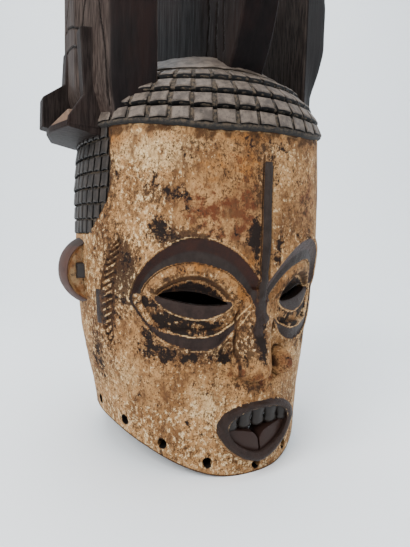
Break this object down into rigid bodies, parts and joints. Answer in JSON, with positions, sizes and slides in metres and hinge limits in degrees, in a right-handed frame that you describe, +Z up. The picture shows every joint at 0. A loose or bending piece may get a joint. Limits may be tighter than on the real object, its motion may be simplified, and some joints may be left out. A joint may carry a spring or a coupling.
{
  "type": "helmet mask",
  "caption": "Carved wooden helmet mask worn over the whole head, with a face on the front and back, a gridded hair cap, side ears and a tall finned crest.",
  "frame": {"origin": "on the ground under the middle of the mask's rim, at the centre of its bounding box", "axes": "+Z up, from the rim to the crest; the front face looks to -Y and the back face to +Y; the ears are on +X and -X"},
  "size_m": [0.264, 0.2322, 0.436],
  "materials": {
    "carved_wood": "pigment worn to bare dark wood, dusty"
  },
  "bodies": {
    "root": {"helmet_mask": "carved_wood"}
  },
  "joints": []
}
